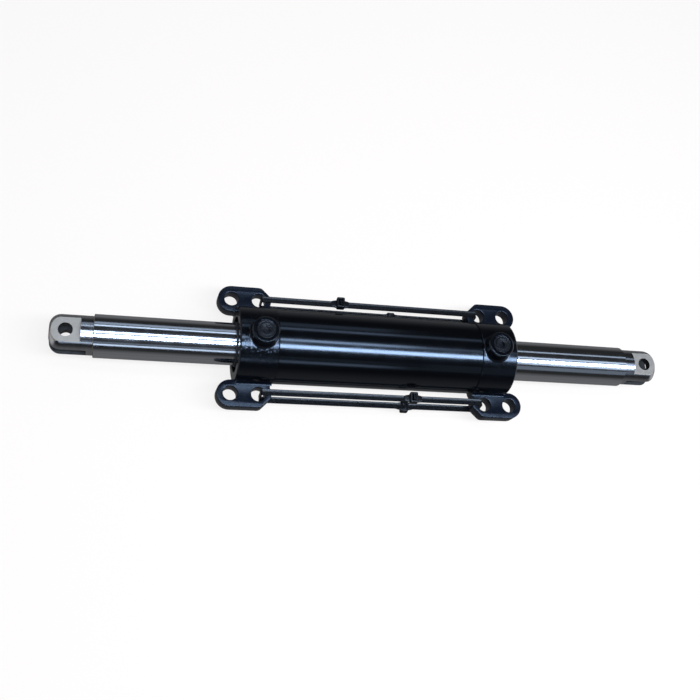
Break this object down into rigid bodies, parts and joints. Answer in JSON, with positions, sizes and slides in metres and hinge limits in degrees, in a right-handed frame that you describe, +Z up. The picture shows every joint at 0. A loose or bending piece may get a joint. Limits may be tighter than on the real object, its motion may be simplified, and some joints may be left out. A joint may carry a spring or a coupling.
{
  "type": "hydraulic steering cylinder",
  "caption": "Double-acting hydraulic cylinder with a through rod, forked clevises on its ends, eared heads, plugged top ports and cable ties between the heads.",
  "frame": {"origin": "centre of the object's footprint, at the surface that the two round heads rest on; the rod's axis is 45.5 mm above it", "axes": "+X along the rod, +Z up through the ports"},
  "size_m": [0.758, 0.1494, 0.1067],
  "materials": {
    "barrel_paint": "semi-gloss black enamel with a faint blue cast on drawn tube",
    "head_paint": "semi-gloss black enamel, brush-marked over cast iron, smooth on machined faces",
    "rod_chrome": "ground and polished hard chrome, with satin milled flats and slots at the clevises",
    "machined_steel": "turned steel",
    "seal_rubber": "nitrile rubber, matte black",
    "seal_polyurethane": "blue polyurethane",
    "ring_acetal": "off-white acetal",
    "bush_bronze": "bronze bush",
    "plug_nylon": "black moulded plastic with turned rings",
    "tie_nylon": "black nylon strap with a fine ratchet",
    "spring_steel": "blackened spring steel"
  },
  "bodies": {
    "barrel": {"tube": "barrel_paint", "head_right": "head_paint", "head_left": "head_paint", "wiper_right": "seal_rubber", "wiper_left": "seal_rubber", "rod_seal_right": "seal_polyurethane", "rod_seal_left": "seal_polyurethane", "rod_backup_ring_right": "ring_acetal", "rod_backup_ring_left": "ring_acetal", "guide_bush_right": "bush_bronze", "guide_bush_left": "bush_bronze", "spigot_o_ring_right": "seal_rubber", "spigot_o_ring_left": "seal_rubber", "spigot_backup_ring_right": "ring_acetal", "spigot_backup_ring_left": "ring_acetal", "port_plug_right": "plug_nylon", "port_plug_left": "plug_nylon", "port_seal_ring_right": "seal_rubber", "port_seal_ring_left": "seal_rubber", "tie_back_right": "tie_nylon", "tie_back_left": "tie_nylon", "tie_front_right": "tie_nylon", "tie_front_left": "tie_nylon"},
    "rod": {"through_rod": "rod_chrome", "piston": "machined_steel", "piston_o_ring": "seal_rubber", "piston_seal": "seal_polyurethane", "piston_energiser": "seal_rubber", "piston_wear_ring_right": "ring_acetal", "piston_wear_ring_left": "ring_acetal", "piston_circlip_right": "spring_steel", "piston_circlip_left": "spring_steel"}
  },
  "joints": [
    {"name": "rod_slide", "type": "slide", "parent": "barrel", "child": "rod", "axis": [1, 0, 0], "range_m": [-0.08, 0.08]}
  ]
}
